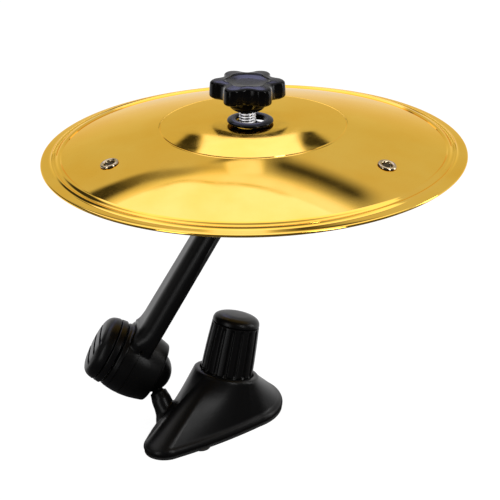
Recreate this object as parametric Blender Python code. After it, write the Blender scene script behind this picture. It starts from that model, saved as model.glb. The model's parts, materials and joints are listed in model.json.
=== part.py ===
"""Mini crash cymbal on an inclined ball-joint arm with a twist-lock foot. Metres, +Z up, front towards -Y."""

import math

import bmesh
import bpy
from mathutils import Vector

MM = 0.001

# Cymbal, on the world Z axis
CYMBAL_R = 75.0
RIM_Z = 105.0
CREASE_R = 32.7
CREASE_H = 10.35
SEAT_H = 11.1
FLAT_R = 12.0
BOW_SLOPE_IN = 10.0
BOW_SLOPE_OUT = 17.0
BOW_END_R = 67.5
SHEET = 1.05
HOLE_R = 6.4
EYELET_R = 54.2
EYELET_AZ = (-155.1, -35.1, 84.9)

# Stud axis: starts on top of the arm's boss, a little beside the cymbal's axis. SEAT_SHIFT moves the soft washers
STUD_BASE = (-2.3, 0.0, 104.0)
STUD_LEAN = 1.45
SEAT_SHIFT = 1.0
STUD_R = 3.0
PITCH = 1.0

# Ball, socket and arm: local Z runs from the ball to the rear knob, local X up the arm
BALL = (-41.1, 0.0, 20.0)
BALL_R = 8.5
ARM_TURN = -59.2
ARM_NEAR = 3.9
ARM_TOP = 86.0
NECK_AXIS = (0.362, -0.435, -0.824)

# Foot
NOSE = (-34.8, -25.3, 8.0)
HEEL = (-11.0, 5.8, 19.7)
SIDE_BULGE = 0.9
PAD_TOP = 1.0
SKIRT_Z = 1.25
SKIRT_TOP = 4.2
RING = (-12.1, 0.0, 18.7)
RING_AXIS = (0.21, 0.17, 0.963)
RING_R = 12.45
DIAL_FLUTES = 16
SCREW_AT = ((-33.0, -22.0), (-18.5, 13.0), (-0.5, 3.0))


def clear_scene():
    for obj in list(bpy.data.objects):
        bpy.data.objects.remove(obj)


def finish(mesh):
    """Normals out, smooth across shallow edges and sharp across the others."""
    work = bmesh.new()
    work.from_mesh(mesh)
    bmesh.ops.recalc_face_normals(work, faces=work.faces)
    if work.calc_volume(signed=True) < 0:
        bmesh.ops.reverse_faces(work, faces=work.faces)
    work.to_mesh(mesh)
    work.free()
    mesh.shade_smooth()
    mesh.set_sharp_from_angle(angle=math.radians(32))


def add(name, verts, faces, at=(0, 0, 0), turn=None, paint=None):
    """One object from points in millimetres about its own origin."""
    mesh = bpy.data.meshes.new(name)
    mesh.from_pydata([tuple(c * MM for c in v) for v in verts], [], faces)
    finish(mesh)
    obj = bpy.data.objects.new(name, mesh)
    bpy.context.scene.collection.objects.link(obj)
    obj.location = [c * MM for c in at]
    if turn is not None:
        obj.rotation_mode = "QUATERNION"
        obj.rotation_quaternion = turn
    if paint:
        mesh.materials.append(material(name, *paint))
    return obj


def material(name, colour, metallic, roughness):
    mat = bpy.data.materials.new(name)
    mat.use_nodes = True
    shader = mat.node_tree.nodes["Principled BSDF"]
    shader.inputs["Base Color"].default_value = (*colour, 1)
    shader.inputs["Metallic"].default_value = metallic
    shader.inputs["Roughness"].default_value = roughness
    return mat


BLACK = ((0.012, 0.012, 0.013), 0.0, 0.3)
SATIN = ((0.015, 0.015, 0.016), 0.0, 0.4)
RUBBER = ((0.02, 0.02, 0.02), 0.0, 0.7)
STEEL = ((0.6, 0.6, 0.62), 1.0, 0.25)
BRASS = ((0.8, 0.6, 0.25), 1.0, 0.15)
NYLON = ((0.75, 0.74, 0.7), 0.0, 0.5)


def about_y(degrees):
    half = math.radians(degrees) / 2
    return (math.cos(half), 0.0, math.sin(half), 0.0)


def along(axis):
    return Vector(axis).to_track_quat("Z", "Y")


def rings_to_mesh(rings, wrap=False):
    """Faces between equal rings of points; a ring of one point is a pole. wrap joins the last ring to the first."""
    verts, starts = [], []
    for ring in rings:
        starts.append(len(verts))
        verts.extend(ring)
    faces = []
    count = len(rings)
    for i in range(count if wrap else count - 1):
        a, b = rings[i], rings[(i + 1) % count]
        sa, sb = starts[i], starts[(i + 1) % count]
        n = max(len(a), len(b))
        for k in range(n):
            m = (k + 1) % n
            if len(a) == 1:
                faces.append((sa, sb + m, sb + k))
            elif len(b) == 1:
                faces.append((sa + k, sa + m, sb))
            else:
                faces.append((sa + k, sa + m, sb + m, sb + k))
    if not wrap:
        for ring, start in ((rings[0], starts[0]), (rings[-1], starts[-1])):
            if len(ring) > 1:
                faces.append(tuple(range(start, start + len(ring))))
    return verts, faces


def turned(profile, segments=32, shape=None):
    """Rings of a profile of (radius, height) about local Z. shape(angle, radius, height) may change the radius."""
    rings = []
    for r, h in profile:
        if r < 1e-6:
            rings.append([(0.0, 0.0, h)])
            continue
        ring = []
        for k in range(segments):
            t = 2 * math.pi * k / segments
            rr = shape(t, r, h) if shape else r
            ring.append((rr * math.cos(t), rr * math.sin(t), h))
        rings.append(ring)
    return rings


def lathe(name, profile, segments=32, at=(0, 0, 0), turn=None, paint=None, tube=False, shape=None):
    verts, faces = rings_to_mesh(turned(profile, segments, shape), wrap=tube)
    return add(name, verts, faces, at, turn, paint)


def combine(obj, other, how="DIFFERENCE"):
    """A Boolean on obj with a helper that stays out of the render."""
    mod = obj.modifiers.new(other.name, "BOOLEAN")
    mod.operation = how
    mod.solver = "EXACT"
    mod.object = other
    other.hide_render = True
    other.display_type = "WIRE"
    return obj


# ---------------------------------------------------------------- cymbal

def bow_height(r):
    """Top of the bow above the rim plane: the slope grows evenly from the bell to the beads."""
    span = BOW_END_R - CREASE_R
    h, steps = CREASE_H, 40
    for i in range(steps):
        x = (i + 0.5) / steps * (r - CREASE_R)
        slope = BOW_SLOPE_IN + (BOW_SLOPE_OUT - BOW_SLOPE_IN) * x / span
        h -= math.tan(math.radians(slope)) * (r - CREASE_R) / steps
    return h


def bell_height(r):
    """Top of the bell: flat round the hole, then a very shallow dome down to the crease."""
    part = max(0.0, r - FLAT_R) / (CREASE_R - FLAT_R)
    return SEAT_H - (SEAT_H - CREASE_H) * part * part


def cymbal_profile():
    top = [(r, bell_height(r)) for r in (HOLE_R, FLAT_R, 17.0, 21.0, 25.0, 29.0, CREASE_R)]
    top += [(r, bow_height(r)) for r in (34.0, 41.0, 49.0, 58.0, BOW_END_R)]
    beads = [(68.2, 2.38), (69.0, 2.02), (69.6, 1.42), (70.2, 1.34), (70.7, 1.72)]
    beads += [(71.2, 1.56), (71.7, 1.02), (74.5, 0.55), (CYMBAL_R, 0.1), (74.7, -0.45)]
    under = [(71.4, 0.0), (69.6, 0.35), (BOW_END_R, bow_height(BOW_END_R) - SHEET)]
    under += [(r, bow_height(r) - SHEET) for r in (55.0, 43.0)]
    under += [(r, bell_height(r) - SHEET) for r in (CREASE_R, 26.0, 20.0, FLAT_R, HOLE_R)]
    return top + beads + under


def eyelet_frame(azimuth):
    """Where an eyelet stands, and its turn square to the bow."""
    t = math.radians(azimuth)
    slope = BOW_SLOPE_IN + (BOW_SLOPE_OUT - BOW_SLOPE_IN) * (EYELET_R - CREASE_R) / (BOW_END_R - CREASE_R)
    lean = math.radians(slope)
    axis = (math.sin(lean) * math.cos(t), math.sin(lean) * math.sin(t), math.cos(lean))
    at = (EYELET_R * math.cos(t), EYELET_R * math.sin(t), RIM_Z + bow_height(EYELET_R))
    return at, along(axis)


def make_cymbal():
    cymbal = lathe("cymbal", cymbal_profile(), 60, at=(0, 0, RIM_Z), paint=BRASS, tube=True)
    ring = [(2.0, 0.55), (2.5, 0.8), (3.05, 0.7), (3.35, 0.2), (3.2, 0.15), (2.35, 0.15), (2.35, -1.3)]
    ring += [(3.1, -1.35), (3.0, -1.75), (2.0, -1.8), (1.75, -1.2), (1.75, 0.2)]
    for i, azimuth in enumerate(EYELET_AZ, 1):
        at, turn = eyelet_frame(azimuth)
        hole = lathe(f"eyelet_hole_{i}", [(0, -3), (2.6, -3), (2.6, 3), (0, 3)], 16, at, turn)
        combine(cymbal, hole)
        lathe(f"eyelet_{i}", ring, 14, at, turn, BRASS, tube=True)


# ---------------------------------------------------------------- stud and what it carries

def on_stud(name, profile, segments, paint, shift=0.0, **more):
    at = (STUD_BASE[0] + shift, STUD_BASE[1], STUD_BASE[2])
    return lathe(name, profile, segments, at, about_y(STUD_LEAN), paint, **more)


def hexagon(across, turned_by=0.0):
    """A shape for turned(): every radius becomes that of a hexagon with this distance across flats."""
    def shape(t, r, h):
        a = (t + turned_by) % (math.pi / 3) - math.pi / 6
        return min(r, across / 2 / math.cos(a))
    return shape


def thread(low, high, root):
    """A shape for turned(): a helical groove between two heights."""
    def shape(t, r, h):
        if r < root or not low < h < high:
            return r
        phase = (h / PITCH - t / (2 * math.pi)) % 1.0
        return root + (r - root) * min(1.0, 2.2 * abs(phase - 0.5))
    return shape


def make_stud():
    head = lathe("bolt_head", [(0, -13.0), (5.2, -13.0), (6.2, -12.4), (6.2, -9.3), (0, -9.3)], 24,
                 STUD_BASE, about_y(STUD_LEAN), shape=hexagon(10.0))
    rows = [(0, -11.0), (STUD_R, -11.0), (STUD_R, 11.5)]
    rows += [(STUD_R, 11.5 + 0.25 * i) for i in range(1, 27)]
    rows += [(STUD_R, 24.4), (2.4, 25.2), (0, 25.2)]
    stud = on_stud("stud", rows, 16, STEEL, shape=thread(11.6, 17.9, 2.5))
    combine(stud, head, "UNION")
    on_stud("lock_nut", [(3.2, 0.3), (5.0, 0.3), (5.9, 0.7), (5.9, 4.2), (5.0, 4.6), (3.2, 4.6)], 24, STEEL,
            tube=True, shape=hexagon(10.0))
    on_stud("seat_washer", [(3.3, 4.9), (9.3, 4.9), (9.5, 5.1), (9.5, 5.9), (9.3, 6.1), (3.3, 6.1)], 28, STEEL,
            tube=True)
    felt = [(5.2, 6.4), (8.8, 6.4), (9.1, 6.9), (8.9, 8.3), (8.3, 9.3), (7.5, 9.85), (5.2, 9.95)]
    on_stud("lower_felt", felt, 28, RUBBER, shift=SEAT_SHIFT, tube=True)
    on_stud("sleeve", [(3.35, 9.3), (3.95, 9.3), (3.95, 12.3), (3.35, 12.3)], 28, NYLON, tube=True)
    washer = [(5.2, 12.5), (5.9, 12.5), (8.0, 12.8), (8.2, 13.1), (8.0, 13.55), (7.2, 13.9), (6.0, 14.0)]
    washer += [(5.3, 13.85), (5.1, 13.6)]
    on_stud("upper_washer", washer, 28, BLACK, shift=SEAT_SHIFT, tube=True)


def star(t, r, h):
    """Six lobes: the full radius on the lobes, less in the valleys, round near the middle."""
    if r < 7.2:
        return r
    wave = math.cos(6 * t)
    lobe = math.copysign(abs(wave) ** 0.75, wave)
    return r - 1.55 * (1 - lobe) * min(1.0, (r - 7.2) / 3.0)


def make_star_knob():
    side = [(0, 16.8), (3.2, 16.8), (4.7, 17.2), (5.9, 18.0), (6.7, 19.1), (7.0, 20.4), (7.1, 21.8), (12.4, 21.6)]
    side += [(13.2, 22.2), (13.35, 22.8), (12.95, 26.6), (12.6, 27.3), (11.8, 27.7), (10.0, 27.85)]
    side += [(8.6, 27.95), (8.0, 28.0), (7.1, 27.6), (4.0, 27.3), (0, 27.25)]
    knob = on_stud("star_knob", side, 60, BLACK, shape=star)
    bore = on_stud("knob_bore", [(0, 15), (3.3, 15), (3.3, 19.6), (4.8, 19.6), (4.8, 25.8), (0, 25.8)], 20, None)
    combine(knob, bore)
    insert = [(3.2, 19.9), (4.5, 19.9), (4.5, 21.8), (4.1, 22.1), (4.1, 22.7), (4.5, 23.0), (4.5, 25.4), (3.2, 25.4)]
    on_stud("knob_insert", insert, 20, BRASS, tube=True)


# ---------------------------------------------------------------- arm, socket and rear knob

def on_ball(name, profile, segments, paint, **more):
    return lathe(name, profile, segments, BALL, about_y(ARM_TURN), paint, **more)


def arm_section(s, near, far, width, edge, bevel):
    """Points across the arm at height s: rounded edges on the far side, bevels on the near side."""
    half = width / 2
    points = []
    for i in range(6):
        t = math.pi / 2 * i / 5
        points.append((far - edge + edge * math.sin(t), -(half - edge + edge * math.cos(t))))
    points += [(z, -y) for z, y in reversed(points)]
    points += [(near + bevel, half), (near, half - bevel), (near, bevel - half), (near + bevel, -half)]
    return [(s, y, z) for z, y in points]


def make_arm():
    rows = []
    for s, far, width, edge in ((2.0, 11.0, 18.0, 2.0), (9.0, 12.6, 20.0, 2.4), (11.8, 12.8, 21.5, 2.8),
                                (13.2, 12.3, 21.5, 3.0), (15.0, 11.9, 21.5, 3.1), (18.0, 11.7, 21.5, 3.2)):
        rows.append(arm_section(s, ARM_NEAR, far, width, edge, 0.4))
    for s in (30.0, 45.0, 60.0, 73.0, ARM_TOP):
        part = (s - 18.0) / (ARM_TOP - 18.0)
        rows.append(arm_section(s, ARM_NEAR, 11.7, 21.5 - 3.5 * part, 3.2, 0.4 + 3.0 * part))
    verts, faces = rings_to_mesh(rows)
    arm = add("arm", verts, faces, BALL, about_y(ARM_TURN), SATIN)
    shell = [(0, -2.8), (11.2, -2.8), (11.5, -2.5), (12.15, 0.0), (12.8, 3.0), (13.1, 6.0), (13.1, 9.0)]
    shell += [(12.6, 12.9), (12.35, 13.2), (12.2, 14.4), (0, 14.4)]
    combine(arm, on_ball("barrel", shell, 40, None), "UNION")
    boss = [(0, -9.0), (7.4, -9.0), (8.2, -8.2), (8.2, -0.8), (7.4, 0.0), (0, 0.0)]
    combine(arm, on_stud("boss", boss, 32, None), "UNION")
    combine(arm, on_stud("stud_hole", [(0, -20), (6.8, -20), (6.8, -9.0), (3.25, -9.0), (3.25, 3), (0, 3)], 24, None))
    bore = [(0, -6.0), (12.0, -6.0), (9.2, -2.6), (9.2, -2.2), (10.2, -2.2), (10.2, 11.8), (3.3, 11.8)]
    bore += [(3.3, 16.0), (0, 16.0)]
    combine(arm, on_ball("barrel_bore", bore, 32, None))


def sphere_rows(radius, z_from, z_to, count):
    """Points of a circle of this radius about the ball centre, from one local height to another."""
    low, high = math.asin(z_from / radius), math.asin(z_to / radius)
    angles = [low + (high - low) * i / (count - 1) for i in range(count)]
    return [(radius * math.cos(t), radius * math.sin(t)) for t in angles]


def make_socket():
    liner = sphere_rows(8.75, -1.9, 3.6, 6) + [(9.9, 3.6), (9.9, -1.9)]
    on_ball("socket_liner", liner, 28, NYLON, tube=True)
    cup = sphere_rows(8.8, 5.4, 8.799, 6)
    shoe = [(0, 8.8)] + [(r, z) for r, z in reversed(cup[:-1])] + [(7.5, 5.6), (7.5, 10.5), (7.1, 10.9), (0, 10.9)]
    on_ball("brake_shoe", shoe, 24, NYLON)
    screw = [(0, 11.2), (2.5, 11.2), (3.0, 11.7), (3.0, 20.2), (2.6, 20.6), (0, 20.6)]
    on_ball("clamp_screw", screw, 20, STEEL)
    ring = [(9.1, 14.9), (12.3, 14.9), (12.5, 15.15), (12.3, 17.0), (12.05, 17.3), (9.1, 17.3)]
    on_ball("clamp_ring", ring, 36, SATIN, tube=True)
    cap = [(0, 15.0), (8.8, 15.0), (8.8, 17.6), (12.0, 17.6), (12.25, 17.85), (12.0, 19.2), (11.5, 20.5)]
    cap += [(10.5, 21.6), (8.9, 22.3), (7.0, 22.55), (0, 22.7)]
    knob = on_ball("clamp_cap", cap, 36, SATIN)
    combine(knob, on_ball("screw_hole", [(0, 12), (3.25, 12), (3.25, 21.0), (0, 21.0)], 20, None))
    for i, s in enumerate((-4.6, 0.0, 4.6), 1):
        verts = [(s + x, y, z) for x in (-0.75, 0.75) for y in (-8.0, 8.0) for z in (21.9, 25.0)]
        faces = [(0, 1, 3, 2), (4, 6, 7, 5), (0, 4, 5, 1), (2, 3, 7, 6), (0, 2, 6, 4), (1, 5, 7, 3)]
        combine(knob, add(f"grip_groove_{i}", verts, faces, BALL, about_y(ARM_TURN)))


def make_ball():
    ball = sphere_rows(BALL_R, -8.3, 8.3, 13)
    rows = [(0, ball[0][1])] + ball + [(0, ball[-1][1])]
    obj = lathe("ball", rows, 26, BALL, along(NECK_AXIS), SATIN)
    hole = lathe("ball_hole", [(0, -2.5), (2.4, -2.5), (2.4, 12), (0, 12)], 20, BALL, along(NECK_AXIS))
    combine(obj, hole)


# ---------------------------------------------------------------- foot

def bulged(a, b):
    """Two points on a slightly convex side from a to b."""
    dx, dy = b[0] - a[0], b[1] - a[1]
    size = math.hypot(dx, dy)
    out = (dy / size * SIDE_BULGE, -dx / size * SIDE_BULGE)
    return [(a[0] + dx * f + out[0], a[1] + dy * f + out[1], a[2]) for f in (0.33, 0.67)]


def egg(inset, z, count=42):
    """The foot's outline: two circles and their common tangents, as points by direction from its middle."""
    (nx, ny, nr), (hx, hy, hr) = NOSE, HEEL
    nr, hr = nr - inset, hr - inset
    span = math.hypot(hx - nx, hy - ny)
    base = math.atan2(hy - ny, hx - nx)
    open_by = math.acos((hr - nr) / span)
    points = []
    heel, nose = int(count * 0.64), count - int(count * 0.64)
    for i in range(heel):
        t = base - (math.pi - open_by) + 2 * (math.pi - open_by) * i / (heel - 1)
        points.append((hx + hr * math.cos(t), hy + hr * math.sin(t), z))
    tip = [base + (math.pi - open_by) + 2 * open_by * i / (nose - 1) for i in range(nose)]
    tip = [(nx + nr * math.cos(t), ny + nr * math.sin(t), z) for t in tip]
    return points + bulged(points[-1], tip[0]) + tip + bulged(tip[-1], points[0])


def ring_points(radius, height, like):
    """A circle square to the dial's axis, each point on the side of the matching outline point."""
    turn, centre = along(RING_AXIS), Vector(RING)
    points = []
    for x, y, _ in like:
        t = math.atan2(y - RING[1] - 1.5, x - RING[0] + 3.0)
        flat = turn @ Vector((0, 0, 1))
        side = Vector((math.cos(t), math.sin(t), 0))
        side = (side - flat * side.dot(flat)).normalized()
        points.append(tuple(centre + side * radius + flat * height))
    return points


def between(a, b, part):
    return [tuple(p + (q - p) * part for p, q in zip(u, v)) for u, v in zip(a, b)]


def on_ring(name, profile, segments, paint, **more):
    return lathe(name, profile, segments, RING, along(RING_AXIS), paint, **more)


def upright(name, x, y, profile, segments, paint=None, **more):
    return lathe(name, profile, segments, (x, y, 0), None, paint, **more)


def make_housing():
    rows = [egg(0.25, SKIRT_Z), egg(0.0, SKIRT_Z + 0.3), egg(0.0, 2.4), egg(0.45, 3.4), egg(1.5, SKIRT_TOP)]
    foot = rows[-1]
    rim = ring_points(RING_R, -0.9, foot)
    rows += [between(foot, rim, part) for part in (0.33, 0.67)]
    rows += [rim, ring_points(RING_R - 0.25, -0.3, foot), ring_points(RING_R - 0.9, 0.0, foot)]
    verts, faces = rings_to_mesh(rows)
    housing = add("housing", verts, faces, paint=SATIN)
    neck = [(0, 1.0), (2.1, 1.0), (2.1, 8.9), (3.1, 8.9), (3.3, 10.2), (3.7, 12.0), (3.8, 15.0), (4.1, 17.0)]
    neck += [(4.8, 18.8), (4.8, 19.4), (0, 19.4)]
    combine(housing, lathe("neck", neck, 28, BALL, along(NECK_AXIS)), "UNION")
    hollow = [egg(2.4, 0.0), egg(2.4, 3.4)]
    inner = egg(4.4, 4.6)
    hollow += [inner, between(inner, ring_points(8.6, -4.5, inner), 0.5), ring_points(8.6, -4.5, inner)]
    verts, faces = rings_to_mesh(hollow)
    combine(housing, add("hollow", verts, faces))
    for i, (x, y) in enumerate(SCREW_AT, 1):
        high = 8.2 if i == 1 else 9.4
        combine(housing, upright(f"post_{i}", x, y, [(0, 3.2), (2.9, 3.2), (2.9, high), (0, high)], 16), "UNION")
        hole = [(0, 2.0), (1.3, 2.0), (1.3, high - 1.2), (0, high - 1.2)]
        combine(housing, upright(f"post_hole_{i}", x, y, hole, 12))
    recess = [(0, -9.0), (3.4, -9.0), (3.4, -2.3), (10.3, -2.3), (10.3, 1.5), (0, 1.5)]
    combine(housing, on_ring("dial_recess", recess, 32, None))


def make_base():
    verts, faces = rings_to_mesh([egg(2.8, 1.25, 32), egg(2.8, 2.8, 32)])
    plate = add("base_plate", verts, faces, paint=SATIN)
    x, y = (RING[i] - RING_AXIS[i] * (RING[2] - 2.5) / RING_AXIS[2] for i in (0, 1))
    combine(plate, upright("plate_window", x, y, [(0, 0), (7.8, 0), (7.8, 4), (0, 4)], 28))
    for i, (x, y) in enumerate(SCREW_AT, 1):
        sink = [(0, 1.0), (2.5, 1.0), (2.5, 1.75), (1.5, 2.3), (1.5, 4.0), (0, 4.0)]
        combine(plate, upright(f"sink_{i}", x, y, sink, 16))
        top = 6.4 if i == 1 else 7.6
        shank = [(0, 1.3), (2.2, 1.3), (2.2, 1.7), (1.15, 2.4), (1.15, top), (0, top)]
        upright(f"base_screw_{i}", x, y, shank, 16, STEEL)
    verts, faces = rings_to_mesh([egg(0.6, 0.0), egg(0.3, 0.25), egg(0.3, PAD_TOP - 0.15), egg(0.5, PAD_TOP)])
    pad = add("pad", verts, faces, paint=RUBBER)
    tab = [(0, 0.1), (3.0, 0.1), (3.4, 0.35), (3.4, 0.75), (3.1, 0.95), (0, 0.95)]
    combine(pad, upright("release_tab", -21.9, -24.2, tab, 20), "UNION")


def flutes(t, r, h):
    """Flat ridges with narrow grooves between them, fading out at both ends of the grip."""
    if r < 8.5 or not -0.3 < h < 18.2:
        return r
    phase = (t * DIAL_FLUTES / (2 * math.pi)) % 1.0
    edge = abs(phase - 0.5) * 2
    return r - (0.75 if edge > 0.86 else 0.55 if edge > 0.6 else 0.0)


def make_dial():
    side = [(0, -0.9), (9.2, -0.9), (9.6, -0.5), (9.75, 0.1), (9.35, 4.0), (9.05, 11.0), (8.85, 18.0)]
    side += [(8.8, 18.35), (8.5, 18.5), (0, 18.5)]
    dial = on_ring("dial", side, DIAL_FLUTES * 6, SATIN, shape=flutes)
    combine(dial, on_ring("dial_bore", [(0, -3), (3.3, -3), (3.3, 15.2), (0, 15.2)], 24, None))
    cap = [(0, 18.75), (8.5, 18.75), (8.8, 19.0), (8.65, 20.1), (8.1, 21.0), (6.9, 21.7), (4.6, 22.2), (0, 22.4)]
    on_ring("dial_cap", cap, 36, SATIN)
    on_ring("thrust_washer", [(3.5, -2.05), (9.2, -2.05), (9.2, -1.25), (3.5, -1.25)], 28, STEEL, tube=True)
    stem = [(0, -14.2), (5.6, -14.2), (6.0, -13.8), (6.0, -12.6), (5.6, -12.2), (3.0, -11.6), (3.0, 12.5)]
    stem += [(2.5, 13.0), (0, 13.0)]
    on_ring("pull_stem", stem, 20, STEEL)


clear_scene()
make_cymbal()
make_stud()
make_star_knob()
make_arm()
make_socket()
make_ball()
make_housing()
make_base()
make_dial()
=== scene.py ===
"""Looks for the miniature crash cymbal: fine meshes, materials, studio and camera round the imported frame."""

import json
import math

import bmesh
import bpy
from mathutils import Matrix, Vector

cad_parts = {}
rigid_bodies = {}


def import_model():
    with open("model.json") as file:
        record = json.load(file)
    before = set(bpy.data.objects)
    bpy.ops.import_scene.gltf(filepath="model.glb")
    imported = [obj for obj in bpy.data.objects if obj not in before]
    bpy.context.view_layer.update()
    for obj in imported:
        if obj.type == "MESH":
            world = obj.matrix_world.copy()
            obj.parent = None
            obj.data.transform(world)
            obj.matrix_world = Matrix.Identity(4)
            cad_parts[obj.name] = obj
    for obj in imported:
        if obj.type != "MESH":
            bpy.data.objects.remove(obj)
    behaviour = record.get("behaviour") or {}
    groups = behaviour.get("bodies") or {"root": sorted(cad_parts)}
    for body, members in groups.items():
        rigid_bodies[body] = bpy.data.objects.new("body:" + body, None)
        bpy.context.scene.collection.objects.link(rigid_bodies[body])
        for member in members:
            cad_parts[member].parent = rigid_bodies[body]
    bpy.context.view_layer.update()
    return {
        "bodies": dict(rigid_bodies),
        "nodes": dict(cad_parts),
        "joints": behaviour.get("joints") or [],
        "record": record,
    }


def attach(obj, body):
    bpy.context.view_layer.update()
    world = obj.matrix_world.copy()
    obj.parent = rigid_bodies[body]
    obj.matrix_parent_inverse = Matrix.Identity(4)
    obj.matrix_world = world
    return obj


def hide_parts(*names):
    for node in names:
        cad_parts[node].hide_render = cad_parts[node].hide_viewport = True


MM = 0.001

# Cymbal, on the world Z axis (millimetres from here on)
CYMBAL_R = 75.0
RIM_Z = 105.0
CREASE_R = 32.7
CREASE_H = 10.35
SEAT_H = 11.1
FLAT_R = 12.0
BOW_SLOPE_IN = 10.0
BOW_SLOPE_OUT = 17.0
BOW_END_R = 67.5
SHEET = 1.05
HOLE_R = 6.4
EYELET_R = 54.2
EYELET_AZ = (-155.1, -35.1, 84.9)
EYELET_HOLE_R = 2.6

# Stud
STUD_BASE = (-2.3, 0.0, 104.0)
STUD_LEAN = 1.45
SEAT_SHIFT = 1.0
STUD_R = 3.0
HEX_ACROSS = 10.0
THREAD_ROOT = 2.52
THREAD_LOW = 11.6
THREAD_HIGH = 17.9
PITCH = 1.0

# Ball, socket and arm: local Z runs from the ball to the rear knob, local X up the arm
BALL = (-41.1, 0.0, 20.0)
BALL_R = 8.5
ARM_TURN = -59.2
ARM_NEAR = 3.9
ARM_TOP = 86.0
NECK_AXIS = (0.362, -0.435, -0.824)
GRIP_GROOVES = (-4.6, 0.0, 4.6)
BARREL_LINES = ((7.8, 12.75), (12.4, 12.25))

# Foot
NOSE = (-34.8, -25.3, 8.0)
HEEL = (-11.0, 5.8, 19.7)
SIDE_BULGE = 0.9
PAD_TOP = 1.0
SKIRT_Z = 1.25
SKIRT_TOP = 4.2
TAB = (-21.9, -24.2)
RING = (-12.1, 0.0, 18.7)
RING_AXIS = (0.21, 0.17, 0.963)
RING_R = 12.45
DIAL_FLUTES = 16
SCREW_AT = ((-33.0, -22.0), (-18.5, 13.0), (-0.5, 3.0))

# Camera
CAMERA_AT = (-2.233, -562.0, 315.12)
CAMERA_PITCH = 23.781
CAMERA_ROLL = -1.486
CAMERA_LENS = 122.26

# Studio, in degrees of elevation and of heading (0 is towards +Y, more is to the right), and light levels.
# All of it but the flag and the dim part repeats three times round the horizon.
DOME_EDGE = 45.0
DOME_WAVE = 4.8
REPEAT = 120.0
WINDOW_SILL = 21.4
WINDOW_LEVEL = 0.85
FLAG_HEADING = -68.0
FLAG_HEIGHT = 22.0
CARD_DEPTH = 0.93
FRAME_DEPTH = 0.94
HORIZON_LEVELS = (0.92, 0.65)
SKY_LEVELS = (1.2, 1.42)
SEAM_DEPTH = 0.42
BEHIND_LEVEL = 0.08
FLOOR_SEEN = 0.97
FLOOR_REAR = 0.8


# ---------------------------------------------------------------- meshes

def loft(rings, wrap=False):
    """Faces between rings of points. A ring of one point is a pole. wrap joins the last ring to the first."""
    verts = [point for ring in rings for point in ring]
    starts, total = [], 0
    for ring in rings:
        starts.append(total)
        total += len(ring)
    faces = []
    for i in range(len(rings) if wrap else len(rings) - 1):
        j = (i + 1) % len(rings)
        n = max(len(rings[i]), len(rings[j]))
        for k in range(n):
            m = (k + 1) % n
            if len(rings[i]) == 1:
                faces.append((starts[i], starts[j] + m, starts[j] + k))
            elif len(rings[j]) == 1:
                faces.append((starts[i] + k, starts[i] + m, starts[j]))
            else:
                faces.append((starts[i] + k, starts[i] + m, starts[j] + m, starts[j] + k))
    if not wrap:
        for ring, start in ((rings[0], starts[0]), (rings[-1], starts[-1])):
            if len(ring) > 1:
                faces.append(tuple(range(start, start + len(ring))))
    return verts, faces


def rounded(profile, radius, closed=False, steps=4):
    """The profile with each corner off the axis replaced by a small arc."""
    points = [Vector(p) for p in profile]
    out, count = [], len(points)
    for i, here in enumerate(points):
        ends = i in (0, count - 1) and not closed
        if ends or here.x < 1e-6:
            out.append(tuple(here))
            continue
        before, after = points[i - 1] - here, points[(i + 1) % count] - here
        reach = min(radius, 0.45 * before.length, 0.45 * after.length)
        a, b = here + before.normalized() * reach, here + after.normalized() * reach
        for s in range(steps + 1):
            t = s / steps
            out.append(tuple(a * (1 - t) ** 2 + here * 2 * t * (1 - t) + b * t * t))
    return out


def turned(profile, segments, shape=None):
    """Rings of a profile of (radius, height) about local Z; shape(angle, radius, height) gives a radius."""
    rings = []
    for r, h in profile:
        if r < 1e-6:
            rings.append([(0.0, 0.0, h)])
            continue
        ring = []
        for k in range(segments):
            t = 2 * math.pi * k / segments
            rr = shape(t, r, h) if shape else r
            ring.append((rr * math.cos(t), rr * math.sin(t), h))
        rings.append(ring)
    return rings


def place(at=(0, 0, 0), axis=None, turn_y=None):
    """Where a piece stands: a point in millimetres, and its local Z along axis or turned about Y."""
    move = Matrix.Translation(Vector(at) * MM)
    if axis is not None:
        return move @ Vector(axis).to_track_quat("Z", "Y").to_matrix().to_4x4()
    if turn_y is not None:
        return move @ Matrix.Rotation(math.radians(turn_y), 4, "Y")
    return move


ON_STUD = place(STUD_BASE, turn_y=STUD_LEAN)
ON_SEAT = place((STUD_BASE[0] + SEAT_SHIFT, STUD_BASE[1], STUD_BASE[2]), turn_y=STUD_LEAN)
ON_BALL = place(BALL, turn_y=ARM_TURN)
ON_NECK = place(BALL, axis=NECK_AXIS)
ON_RING = place(RING, axis=RING_AXIS)
ON_CYMBAL = place((0, 0, RIM_Z))


def mesh_object(name, verts, faces, where, crease=38):
    mesh = bpy.data.meshes.new(name)
    mesh.from_pydata([tuple(c * MM for c in v) for v in verts], [], faces)
    obj = bpy.data.objects.new(name, mesh)
    bpy.context.scene.collection.objects.link(obj)
    obj.matrix_world = where
    face_out(obj)
    soften(obj, crease)
    return obj


def face_out(obj):
    work = bmesh.new()
    work.from_mesh(obj.data)
    bmesh.ops.recalc_face_normals(work, faces=work.faces)
    if work.calc_volume(signed=True) < 0:
        bmesh.ops.reverse_faces(work, faces=work.faces)
    work.to_mesh(obj.data)
    work.free()


def soften(obj, crease=38):
    obj.data.shade_smooth()
    obj.data.set_sharp_from_angle(angle=math.radians(crease))


def revolve(name, profile, segments, where, tube=False, shape=None, crease=38):
    verts, faces = loft(turned(profile, segments, shape), wrap=tube)
    return mesh_object(name, verts, faces, where, crease)


def applied(obj):
    """The object with its modifiers made part of its mesh."""
    bpy.context.view_layer.update()
    shown = obj.evaluated_get(bpy.context.evaluated_depsgraph_get())
    mesh = bpy.data.meshes.new_from_object(shown)
    obj.modifiers.clear()
    old, obj.data = obj.data, mesh
    bpy.data.meshes.remove(old)
    return obj


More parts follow.
